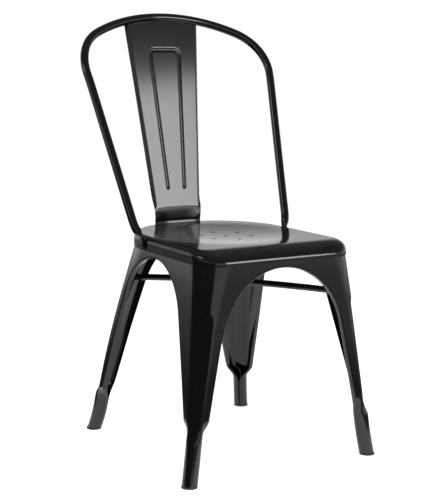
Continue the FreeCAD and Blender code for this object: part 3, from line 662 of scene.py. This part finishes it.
def hoop_right_half():
    """From the end of the plate up the side and round to the middle of the crown. The round's
    centre lies where a circle fits the side line and the crown circle at once."""
    slant = math.hypot(1.0, hoop_splay)
    start = hoop_bend[0] - hoop_corner * slant
    crown_v = hoop_length - hoop_crown
    a = hoop_splay ** 2 + 1.0
    b = 2.0 * start * hoop_splay - 2.0 * crown_v
    c = start ** 2 + crown_v ** 2 - (hoop_crown - hoop_corner) ** 2
    corner_v = (-b + math.sqrt(b * b - 4.0 * a * c)) / (2.0 * a)
    corner_x = start + hoop_splay * corner_v
    slope = math.atan(hoop_splay)
    handover = math.atan2(corner_v - crown_v, corner_x)
    side_end = corner_v - hoop_corner * math.sin(slope)
    side_v = np.linspace(hoop_side_start, side_end, 60)
    turn = np.linspace(-slope, handover, 60)[1:]
    crown_turn = np.linspace(handover, 0.5 * math.pi, 30)[1:]
    x = np.concatenate([hoop_bend[0] + hoop_splay * side_v, corner_x + hoop_corner * np.cos(turn),
                        hoop_crown * np.cos(crown_turn)])
    v = np.concatenate([side_v, corner_v + hoop_corner * np.sin(turn),
                        crown_v + hoop_crown * np.sin(crown_turn)])
    upper = hoop_in_space(x, v)
    plate_x = skirt_x(plate_y) + fit_gap + 0.5 * plate_thickness
    low = np.array([plate_x, plate_y, plate_top])
    below = hoop_bend + unit(low - hoop_bend) * neck_end
    t = np.linspace(0.0, 1.0, 12)[:, None]
    bend = (1 - t) ** 2 * below + 2 * t * (1 - t) * hoop_bend + t ** 2 * upper[0]
    neck = low + (below - low) * np.linspace(0.0, 1.0, 14)[:, None]
    drop = (plate_top - plate_bottom) * np.sin(np.linspace(0.5 * math.pi, 0.0, plate_steps))
    plate = low - drop[:, None] * np.array([0.0, 0.0, 1.0])
    return np.concatenate([plate, neck[1:], bend[1:], upper[1:]]), len(neck)


half_path, neck_rows = hoop_right_half()
hoop_path = np.concatenate([half_path, (half_path * mirror)[::-1][1:]])
print("hoop: path points", len(hoop_path), "top", hoop_path[:, 2].max(),
      "width", 2 * hoop_path[:, 0].max())

# %% [markdown]
# ## A tube along a path
# A ring is carried along the path, with its first axis kept as close as it can be to the
# chair's depth, and its second axis at a right angle to both. Where the tube is squashed,
# the ring is an ellipse: wide along the depth, thin across it.
# %% The hoop surface
ring_points = 28


def carried_ring(path, wide, thin):
    """Rows of rings: path point, plus wide times cosine along the first axis, plus thin times
    sine along the second."""
    ahead = unit(np.gradient(path, axis=0))
    depth = np.array([0.0, 1.0, 0.0])
    first = unit(depth - ahead * (ahead @ depth)[:, None])
    second = np.cross(ahead, first)
    turn = np.linspace(0.0, 2 * np.pi, ring_points, endpoint=False)
    rings = first[:, None] * (wide[:, None] * np.cos(turn))[..., None]
    rings = rings + second[:, None] * (thin[:, None] * np.sin(turn))[..., None]
    return path[:, None] + rings


def end_cap(row):
    """A last row with every point in the middle, which closes the end."""
    return np.broadcast_to(row.mean(axis=0), row.shape)[None]


plate_z = half_path[:plate_steps, 2]
below_round = np.clip(plate_bottom + plate_half_width - plate_z, 0.0, plate_half_width)
plate_wide = np.sqrt(np.maximum(plate_half_width ** 2 - below_round ** 2, 0.0))
neck_start = plate_steps - 1
round_share = np.ones(len(half_path))
round_share[:neck_start] = 0.0
round_share[neck_start:neck_start + neck_rows] = smooth(np.linspace(0, 1, neck_rows), 0, 1)
wide = plate_half_width + (hoop_tube - plate_half_width) * round_share
wide[:plate_steps] = plate_wide
thin = 0.5 * plate_thickness + (hoop_tube - 0.5 * plate_thickness) * round_share
thin[0] = 0.0
wide, thin = (np.concatenate([half, half[::-1][1:]]) for half in (wide, thin))
hoop_rings = carried_ring(hoop_path, wide, thin)
make_piece("bent_back_hoop", [place_in_frame(hoop_rings)], ["back_hoop"],
           solid=True)

# %% [markdown]
# ## The back splat
# The upright panel is pressed sheet as well. It is bent to stand up from the seat, it gets
# wider towards the hoop, its long edges roll away from the sitter, and an upside-down U is
# pressed into it as a rounded groove, which stiffens it and leaves a quiet ornament.
# %% The groove of the splat
groove_ends = (42 * mm, 329 * mm)
groove_half_widths = (19.7 * mm, 34.5 * mm)
groove_radius = 4.5 * mm
groove_offset = 2.7 * mm
groove_corner = 12 * mm
groove_softness = 0.5 * mm


def groove_press(u, v):
    """Depth of the groove: a round bar's shape, at each point's distance from the U line. The
    line is the border of a tapering tongue with rounded shoulders, open at its foot."""
    foot_half, top_half = groove_half_widths
    taper = (top_half - foot_half) / (groove_ends[1] - groove_ends[0])
    across = np.abs(u) - foot_half - taper * (v - groove_ends[0])
    a = across * math.cos(math.atan(taper)) + groove_corner
    b = v - groove_ends[1] + groove_corner
    beyond = np.hypot(np.maximum(a, 0.0), np.maximum(b, 0.0))
    line = np.abs(np.minimum(np.maximum(a, b), 0.0) + beyond - groove_corner)
    foot = np.hypot(np.abs(u) - foot_half, v - groove_ends[0])
    distance = np.where(v < groove_ends[0], foot, line)
    depth = np.sqrt(np.maximum(groove_radius ** 2 - distance ** 2, 0.0)) - groove_offset
    return soft_positive(depth, groove_softness) - soft_positive(-groove_offset, groove_softness)


print("groove", round(groove_radius - groove_offset, 5), "m deep")

# %% The splat surface
splat_bend_height = 457 * mm
splat_bend_y = 188 * mm
splat_lean = math.radians(10.9)
splat_length = 391.5 * mm
splat_widths = (56 * mm, 87.2 * mm)
splat_full_length = 394.5 * mm
splat_fine_start = 30 * mm
tab_half_width = 54 * mm
tab_bottom = 402 * mm
widen_span = (-25 * mm, 6 * mm)
splat_roll = 6 * mm
splat_roll_width = 8 * mm
splat_roll_span = (-10 * mm, 25 * mm)
edge_band = 0.06
sag_heights = (640 * mm, 840 * mm)
crease = 2.5 * mm
foot_lean = 0.17
foot_lean_most = 4.6 * mm
foot_heights = (418 * mm, 428 * mm)


def splat_surface():
    """Rows up the panel, columns across it. Below the bend it wraps round the seat's back. Above
    it the panel leans back, after a soft crease, and its long edges roll back by a square law.
    Near the top the rows sag by a square law too, along the hoop's crown."""
    top_z = splat_bend_height + splat_length * math.cos(splat_lean)
    fine_z = splat_bend_height + splat_fine_start
    z = np.concatenate([np.linspace(tab_bottom, fine_z, 40), np.linspace(fine_z, top_z, 235)[1:]])
    z = z[:, None]
    band = edge_band * np.sin(np.linspace(-0.5 * np.pi, 0.5 * np.pi, 25))
    middle = np.linspace(2 * edge_band - 1, 1 - 2 * edge_band, 125)[1:-1]
    place = np.concatenate([edge_band - 1 + band, middle, 1 - edge_band + band])[None]
    rise = np.maximum(z - splat_bend_height, 0.0) / math.cos(splat_lean)
    full = splat_widths[0] + (splat_widths[1] - splat_widths[0]) / splat_full_length * rise
    open_up = smooth(z - splat_bend_height, *widen_span)
    half = tab_half_width + (full - tab_half_width) * open_up
    roll = splat_roll * smooth(z - splat_bend_height, *splat_roll_span)
    x = place * half
    plan = corner_plan(rear_leg, np.array([apron_height]))
    flat_half = -plan.tip[0, 0] - plan.tangent[0]
    wrap_radius = rear_leg.radius + sheet + 2 * fit_gap
    wrap = wrap_radius - np.sqrt(wrap_radius ** 2 - np.maximum(np.abs(x) - flat_half, 0.0) ** 2)
    edge = np.maximum(np.abs(x) - (half - splat_roll_width), 0.0) / splat_roll_width
    sag = x * x / (2 * hoop_crown) * smooth(z, *sag_heights)
    above = z - sag - splat_bend_height
    soft_above = soft_positive(above, crease)
    tab_y = rear_leg.apron[1] + sheet + 2 * fit_gap - splat_bend_y
    foot_y = np.minimum(foot_lean * (soft_above - above), foot_lean_most)
    foot_y = tab_y + (foot_y - tab_y) * smooth(z - sag, *foot_heights)
    y = splat_bend_y + soft_above * math.tan(splat_lean) + foot_y
    y = y - wrap * (1.0 - open_up) + roll * edge ** 2
    press = groove_press(x, above / math.cos(splat_lean))
    y = y + press * math.cos(splat_lean)
    z = z - sag - press * math.sin(splat_lean)
    return np.stack([x, y, z], axis=-1)


splat_points = splat_surface()
away = np.linalg.norm(splat_points[-1][:, None] - hoop_path[None], axis=-1).min()
print("splat's top edge to the hoop's middle line:", round(away, 5), "m")
splat = make_piece("pressed_back_splat", [place_in_frame(splat_points)],
                   ["back_splat"])
sheet_metal(splat)

# %% [markdown]
# ## The crossed braces
# Two round bars run corner to corner under the seat and pass over each other in the middle,
# so each is bowed a little, one up and one down. Each bar has a small round at its ends, just
# inside the legs. The frame gives the place and the size of both bars.
# %% The braces
brace_radius = 6.5 * mm
brace_bow = 6.8 * mm
brace_steps = 61
end_round = 0.8 * mm
end_round_length = 1.2 * mm


def brace_path(node, rise, toward_right):
    """Shallow arc between two opposite corners of the bar's own box, bowed by a parabola."""
    low, high = (np.array(corner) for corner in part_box(node))
    end_z = low[2] + brace_radius if rise > 0 else high[2] - brace_radius
    share = np.linspace(0.0, 1.0, brace_steps)
    start_x, end_x = (high[0], low[0]) if toward_right else (low[0], high[0])
    reach = np.array([end_x - start_x, high[1] - low[1]])
    inset = brace_radius * np.abs(reach[::-1]) / np.hypot(*reach) * np.sign(reach)
    start = np.array([start_x, low[1]]) + inset
    end = np.array([end_x, high[1]]) - inset
    plan = start + (end - start) * share[:, None]
    z = end_z + rise * 4.0 * share * (1.0 - share)
    return np.concatenate([plan, z[:, None]], axis=1)


def make_brace(name, node, rise, toward_right):
    """Bar with a small round at each end, closed by a middle point."""
    path = brace_path(node, rise, toward_right)
    length = np.linalg.norm(np.diff(path, axis=0), axis=1).sum()
    along = np.linspace(0.0, length, brace_steps)
    from_end = np.minimum(along, along[::-1])
    radius = brace_radius - end_round * (1.0 - smooth(from_end, 0.0, end_round_length))
    rings = carried_ring(path, radius, radius)
    rings = np.concatenate([end_cap(rings[0]), rings, end_cap(rings[-1])])
    make_piece(name, [rings], [node], solid=True)


make_brace("round_brace_upper", "cross_brace_upper", brace_bow, True)
make_brace("round_brace_lower", "cross_brace_lower", -brace_bow, False)

# %% [markdown]
# ## The two hoop bolts
# Each flattened tube end is held by a bolt with a low round head. The head is a profile
# turned round the bolt's own axis, which runs across the chair.
# %% The bolt heads
bolt_radius = 3 * mm
bolt_head_radius = 5.5 * mm
bolt_head_height = 3.4 * mm
bolt_head_ball = 1.25 * bolt_head_radius
bolt_rim = 0.3 * mm
bolt_height = 411 * mm
bolt_tail = 14 * mm
bolt_tail_round = 0.4 * mm


def bolt_surface(side):
    """Profile turned round a line along X: dome, rim, shoulder, shank and the flat end."""
    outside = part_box("hoop_bolts")[1].x
    shoulder = outside - bolt_head_height
    tail = skirt_x(plate_y) - bolt_tail
    slope = math.asin(bolt_head_radius / bolt_head_ball) * np.linspace(0.0, 1.0, 12)
    x = np.concatenate([outside - bolt_head_ball * (1.0 - np.cos(slope)),
                        [shoulder + bolt_rim, shoulder, shoulder,
                         tail + bolt_tail_round, tail, tail]])
    r = np.concatenate([bolt_head_ball * np.sin(slope),
                        [bolt_head_radius, bolt_head_radius - bolt_rim, bolt_radius,
                         bolt_radius, bolt_radius - bolt_tail_round, 0.0]])
    turn = np.linspace(0.0, 2 * np.pi, 32, endpoint=False)
    y = plate_y + slide + r[:, None] * np.cos(turn)
    z = bolt_height + r[:, None] * np.sin(turn)
    return np.stack([np.broadcast_to(side * x[:, None], y.shape), y, z], axis=-1)


bolts = make_piece("round_head_bolts", [bolt_surface(-1), bolt_surface(1)],
                   ["hoop_bolts"], solid=True)
even_shading(bolts)

# %% [markdown]
# ## Finishes
# Powder coat is a plastic film that is melted onto the steel. It is deep black and glossy,
# and from near by it has a faint ripple like orange peel. Fine dust settles on faces that
# look up and makes them a little paler. Two node groups make these effects once, and each
# material puts them in with its own numbers.
# %% Shared effects
dust_color = (0.3, 0.3, 0.29, 1.0)


def feed(tree, node, inputs):
    """Gives each named input of a node a plain value, or a link from an output."""
    for label, value in inputs.items():
        if isinstance(value, bpy.types.NodeSocket):
            tree.links.new(value, node.inputs[label])
        else:
            node.inputs[label].default_value = value
    return node


def add_node(tree, kind, inputs, **settings):
    """New shader node with its settings, and then its inputs."""
    node = tree.nodes.new("ShaderNode" + kind)
    for label, value in settings.items():
        setattr(node, label, value)
    return feed(tree, node, inputs)


def map_range(tree, value, start, end, low=0.0, high=1.0):
    """Moves a value from the span start to end to the span low to high, and keeps it there."""
    return add_node(tree, "MapRange", {
        "Value": value, "From Min": start, "From Max": end, "To Min": low,
        "To Max": high}).outputs["Result"]


def arithmetic(tree, operation, *values):
    """Result of a Math node, for plain values or outputs."""
    return add_node(tree, "Math", dict(enumerate(values)), operation=operation).outputs[0]


def new_group(name, inputs, outputs):
    """Shader node group with named sockets, the outputs that it is given, and its end node."""
    group = bpy.data.node_groups.new(name, "ShaderNodeTree")
    for way, sockets in (("INPUT", inputs), ("OUTPUT", outputs)):
        for label, kind in sockets.items():
            group.interface.new_socket(label, in_out=way, socket_type="NodeSocket" + kind)
    start = group.nodes.new("NodeGroupInput")
    return group, start.outputs, group.nodes.new("NodeGroupOutput")


def orange_peel_group():
    """Soft ripple for a bump, and a slow change of gloss over the surface, which is the gloss
    plus its change times a cloud."""
    group, given, end = new_group(
        "orange_peel",
        {"Place": "Vector", "Ripple Scale": "Float", "Gloss": "Float", "Gloss Change": "Float"},
        {"Height": "Float", "Roughness": "Float"})
    ripple = add_node(group, "TexNoise", {
        "Vector": given["Place"], "Scale": given["Ripple Scale"], "Detail": 1.5,
        "Roughness": 0.45})
    cloud = add_node(group, "TexNoise", {"Vector": given["Place"], "Scale": 9.0, "Detail": 3.0})
    roughness = arithmetic(
        group, "MULTIPLY_ADD", cloud.outputs["Fac"], given["Gloss Change"], given["Gloss"])
    feed(group, end, {"Height": ripple.outputs["Fac"], "Roughness": roughness})
    return group


def settled_dust_group():
    """Colour with fine dust in it: a fine grain, on faces that look up only."""
    group, given, end = new_group(
        "settled_dust", {"Place": "Vector", "Amount": "Float", "Bare": "Color"},
        {"Color": "Color"})
    surface = add_node(group, "NewGeometry", {})
    split = add_node(group, "SeparateXYZ", {0: surface.outputs["Normal"]})
    upward = map_range(group, split.outputs["Z"], 0.6, 1.0)
    grain = add_node(group, "TexNoise", {"Vector": given["Place"], "Scale": 40.0, "Detail": 6.0})
    speck = map_range(group, grain.outputs["Fac"], 0.35, 0.75)
    both = arithmetic(group, "MULTIPLY", upward, speck)
    mask = arithmetic(group, "MULTIPLY", both, given["Amount"])
    blend = add_node(group, "Mix", {
        "Factor": mask, "A": given["Bare"], "B": dust_color}, data_type="RGBA")
    feed(group, end, {"Color": blend.outputs["Result"]})
    return group


orange_peel = orange_peel_group()
settled_dust = settled_dust_group()
print("shared effects:", orange_peel.name, settled_dust.name)

# %% [markdown]
# ## The three materials
# The coat, the painted bolts and the rubber are all black, and differ in gloss, in the size
# of their ripple and in how much dust they hold. Each gives these numbers to the two effects.
# %% Materials
film_ior = 1.5


def black_finish(name, color, gloss, gloss_change, ripple_scale, ripple_height, dust):
    """Principled surface that is fed by the two shared effects."""
    material = bpy.data.materials.new(name)
    material.use_nodes = True
    tree = material.node_tree
    place = add_node(tree, "TexCoord", {}).outputs["Object"]
    peel = add_node(tree, "Group", {
        "Place": place, "Ripple Scale": ripple_scale, "Gloss": gloss,
        "Gloss Change": gloss_change}, node_tree=orange_peel)
    film = add_node(tree, "Group", {
        "Place": place, "Amount": dust, "Bare": (*color, 1.0)}, node_tree=settled_dust)
    bump = add_node(tree, "Bump", {
        "Strength": 1.0, "Distance": ripple_height, "Height": peel.outputs["Height"]})
    feed(tree, tree.nodes["Principled BSDF"], {
        "IOR": film_ior, "Base Color": film.outputs["Color"],
        "Roughness": peel.outputs["Roughness"], "Normal": bump.outputs["Normal"]})
    return material


powder_coat = black_finish(
    "glossy_black_powder_coat", (0.004, 0.004, 0.0045), gloss=0.10, gloss_change=0.05,
    ripple_scale=320.0, ripple_height=0.01 * mm, dust=0.02)
bolt_paint = black_finish(
    "painted_black_steel", (0.012, 0.012, 0.012), gloss=0.18, gloss_change=0.06,
    ripple_scale=500.0, ripple_height=0.01 * mm, dust=0.03)
foot_rubber = black_finish(
    "moulded_black_rubber", (0.018, 0.018, 0.018), gloss=0.55, gloss_change=0.15,
    ripple_scale=900.0, ripple_height=0.03 * mm, dust=0.05)

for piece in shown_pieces():
    node = piece.get("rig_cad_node", "")
    if node.startswith("rubber_foot"):
        finish = foot_rubber
    elif node.startswith("hoop_") or piece.name == "round_head_bolts":
        finish = bolt_paint
    else:
        finish = powder_coat
    if not piece.material_slots:
        piece.data.materials.append(finish)
    for slot in piece.material_slots:
        slot.material = finish
    print(piece.name, "has", finish.name)

# %% [markdown]
# ## Camera
# The lens and the place of the camera were worked out from the photograph: the feet, the
# hoop, the splat and the drain holes fix them. The camera looks to the right, a little down.
# %% The camera
camera_place = place_in_frame(np.array([-1463.83, -2283.67, 833.29]) * mm)
camera_turn = math.radians(32.17)
camera_pitch = math.radians(-9.22)
camera_roll = math.radians(0.757)
lens = 116.5
ahead = Vector((math.sin(camera_turn) * math.cos(camera_pitch),
                math.cos(camera_turn) * math.cos(camera_pitch), math.sin(camera_pitch)))
level_right = Vector((math.cos(camera_turn), -math.sin(camera_turn), 0.0))
level_up = level_right.cross(ahead)
right = level_right * math.cos(camera_roll) + level_up * math.sin(camera_roll)
up = level_up * math.cos(camera_roll) - level_right * math.sin(camera_roll)
camera_data = bpy.data.cameras.new("photo_camera")
camera_data.lens = lens
camera_data.sensor_width = 36.0
camera_data.sensor_fit = "HORIZONTAL"
camera_data.clip_start = 0.05
camera = add_object("photo_camera", camera_data)
turned = Matrix((right, up, -ahead)).transposed().to_4x4()
camera.matrix_world = Matrix.Translation(Vector(camera_place)) @ turned
bpy.context.scene.camera = camera
print("camera at", [round(v, 3) for v in camera.location])

# %% [markdown]
# ## Studio
# A black glossy object is lit by what it mirrors. The camera sees a white world over a pale
# floor. In mirrors the world fades from white at the horizon to dark overhead, and as soft
# light it is a plain grey. A large soft lamp at the front right makes the long pale bands on
# the splat and the seat's nose, a small one at the left puts the sparks on the rounded corners,
# and a large one overhead gives light without being mirrored. Two dark cards are painted shade
# that only mirrored rays meet, so no picture shows them: they keep the legs and the front left
# corner dark in mirrors, and the floor card is darkest near the chair, a painted shadow round it.
# %% The world
white = (1.0, 1.0, 1.0, 1.0)
soft_level = 0.5
overhead_level = 0.12


def for_rays(tree, *kinds):
    """1 for these kinds of ray, else 0: the largest of their outputs of a Light Path node."""
    path = add_node(tree, "LightPath", {})
    result = path.outputs[f"Is {kinds[0]} Ray"]
    for kind in kinds[1:]:
        result = arithmetic(tree, "MAXIMUM", result, path.outputs[f"Is {kind} Ray"])
    return result


world = bpy.data.worlds.new("studio_world")
bpy.context.scene.world = world
world.use_nodes = True
tree = world.node_tree
toward = add_node(tree, "TexCoord", {})
split = add_node(tree, "SeparateXYZ", {0: toward.outputs["Generated"]})
mirrored_level = map_range(tree, split.outputs["Z"], 0.06, 0.4, 1.0, overhead_level)
in_mirror = add_node(tree, "Mix", {
    "Factor": for_rays(tree, "Glossy"), "A": soft_level, "B": mirrored_level})
seen = add_node(tree, "Mix", {
    "Factor": for_rays(tree, "Camera", "Transmission"), "A": in_mirror.outputs["Result"],
    "B": 1.0})
feed(tree, tree.nodes["Background"], {"Color": white, "Strength": seen.outputs["Result"]})
print("world nodes:", len(tree.nodes))

# %% The floor
reach = 6.0
floor_glow = 0.62
floor_mesh = bpy.data.meshes.new("studio_floor")
floor_corners = [(-reach, -reach, 0), (reach, -reach, 0), (reach, reach, 0), (-reach, reach, 0)]
floor_mesh.from_pydata(floor_corners, [], [(0, 1, 2, 3)])
floor = add_object("studio_floor", floor_mesh)

floor_paint = bpy.data.materials.new("studio_floor_paint")
floor_paint.use_nodes = True
tree = floor_paint.node_tree
seen_rays = for_rays(tree, "Camera", "Glossy", "Transmission")
feed(tree, tree.nodes["Principled BSDF"], {
    "Base Color": (0.8, 0.8, 0.8, 1.0), "Roughness": 0.9, "Emission Color": white,
    "Emission Strength": arithmetic(tree, "MULTIPLY", seen_rays, floor_glow)})
floor_mesh.materials.append(floor_paint)
print("floor", 2 * reach, "m wide")

# %% Cards and lamps
card_steps = 65


def mirror_card(name, start, end, rows, shade_tones):
    """Round card of painted shade, drawn between two turns in degrees through rows of radius
    and height. Only mirrored rays meet it, so it is never in a picture and takes no soft light
    away: its dark grey is shade painted into the mirrored surroundings. Shade tones are two
    distances from the chair and the card's grey at each."""
    turn = np.radians(np.linspace(start, end, card_steps))
    points = np.concatenate([
        np.stack([radius * np.cos(turn), radius * np.sin(turn), 0.0 * turn + height], axis=-1)
        for radius, height in rows])
    mesh = bpy.data.meshes.new(name)
    mesh.from_pydata(points.tolist(), [], grid_quads(len(rows), card_steps, False).tolist())
    card = add_object(name, mesh)
    for rays in ("camera", "diffuse", "shadow", "transmission"):
        setattr(card, "visible_" + rays, False)
    # The card's grey is painted shade for mirrors, not the colour of any real cloth.
    mirrored_shade = bpy.data.materials.new(name)
    mirrored_shade.use_nodes = True
    tree = mirrored_shade.node_tree
    place = add_node(tree, "TexCoord", {})
    away = add_node(tree, "VectorMath", {0: place.outputs["Object"]}, operation="LENGTH")
    # Darker or paler by distance from the chair: painted shade in the mirrored surroundings.
    shade_tone = map_range(tree, away.outputs["Value"], *shade_tones)
    feed(tree, tree.nodes["Principled BSDF"], {"Roughness": 1.0, "Base Color": shade_tone})
    mesh.materials.append(mirrored_shade)
    print(name, "points", len(mesh.vertices))


# Painted shade seen only in mirrors: an even dark grey card at the front left, and a floor card
# that is darkest near the chair, a painted shadow round it.
mirror_card("front_left_shade_card", 140, 238, [(0.8, 0.004), (0.8, 0.5)], (0.0, 1.0, 0.02, 0.02))
mirror_card("floor_shade_card", 0, 360, [(0.6, 0.002), (5.9, 0.002)], (1.1, 4.5, 0.04, 0.8))


def soft_lamp(name, place, target, width, height, power):
    """Area lamp that looks at a target point."""
    data = bpy.data.lights.new(name, "AREA")
    data.shape = "RECTANGLE"
    data.size = width
    data.size_y = height
    data.energy = power
    lamp = add_object(name, data)
    lamp.location = place
    lamp.rotation_euler = (Vector(target) - Vector(place)).to_track_quat("-Z", "Y").to_euler()
    print(name, power, "W")
    return lamp


seat_middle = (0.0, 0.0, 0.42)
overhead = soft_lamp("overhead_box", (-0.6, -0.6, 2.6), seat_middle, 2.4, 2.4, 45)
overhead.visible_glossy = False
soft_lamp("left_box", (-1.8, 0.1, 1.6), seat_middle, 0.7, 0.5, 4.4)
soft_lamp("front_right_box", (1.12, -2.4, 1.08), (0.0, 0.2, 0.65), 1.15, 0.95, 30.6)

# %% [markdown]
# ## Finish
# The view transform is plain, so a colour renders as it is written.
# %% View settings
bpy.context.scene.view_settings.view_transform = "Standard"
